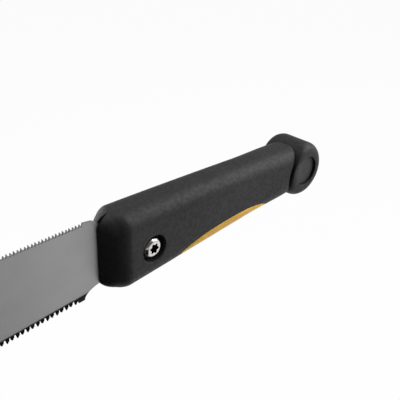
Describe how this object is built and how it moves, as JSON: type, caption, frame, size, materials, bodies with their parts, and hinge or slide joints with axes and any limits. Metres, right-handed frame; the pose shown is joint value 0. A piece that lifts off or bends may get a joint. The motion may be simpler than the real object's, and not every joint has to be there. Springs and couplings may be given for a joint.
{
  "type": "pruning saw",
  "caption": "Straight-handled pull saw with a replaceable double-edged blade, fine teeth above and coarse below, clamped in a soft-covered handle by one domed screw.",
  "frame": {"origin": "middle of the handle, on the blade's centre plane", "axes": "+X from the blade's tip toward the butt, +Y away from the screw head, +Z from the coarse teeth toward the fine teeth"},
  "size_m": [0.3961, 0.0254, 0.0546],
  "materials": {
    "blade_steel": "satin, coarse teeth heat-blackened",
    "soft_black": "fine matt grain",
    "amber_core": "satin",
    "plain_steel": "satin",
    "screw_steel": "bright",
    "dark_steel": "black oxide"
  },
  "bodies": {
    "handle": {"grip_sleeve": "soft_black", "core_near": "amber_core", "core_far": "amber_core", "core_screw_front": "plain_steel", "core_screw_mid": "plain_steel", "core_screw_rear": "plain_steel", "jaw_near": "plain_steel", "jaw_far": "plain_steel", "locating_pin": "plain_steel", "clamp_nut": "plain_steel", "pommel": "soft_black", "pommel_pin": "plain_steel", "plug_near": "soft_black", "plug_far": "soft_black"},
    "blade": {"saw_blade": "blade_steel"},
    "washer": {"clamp_washer": "dark_steel"},
    "screw": {"clamp_screw": "screw_steel"}
  },
  "joints": [
    {"name": "blade_slide", "type": "slide", "parent": "handle", "child": "blade", "axis": [-1, 0, 0], "range_m": [0, 0.058]},
    {"name": "screw_travel", "type": "slide", "parent": "handle", "child": "washer", "axis": [0, -1, 0], "range_m": [0, 0.007]},
    {"name": "screw_turn", "type": "hinge", "parent": "washer", "child": "screw", "pos_m": [-0.0452, 0, -0.0024], "axis": [0, -1, 0], "range_deg": [0, 2520]}
  ],
  "couplings": [
    {"joint": "screw_turn", "follows": "screw_travel", "rad_per_m": 6283.2}
  ]
}
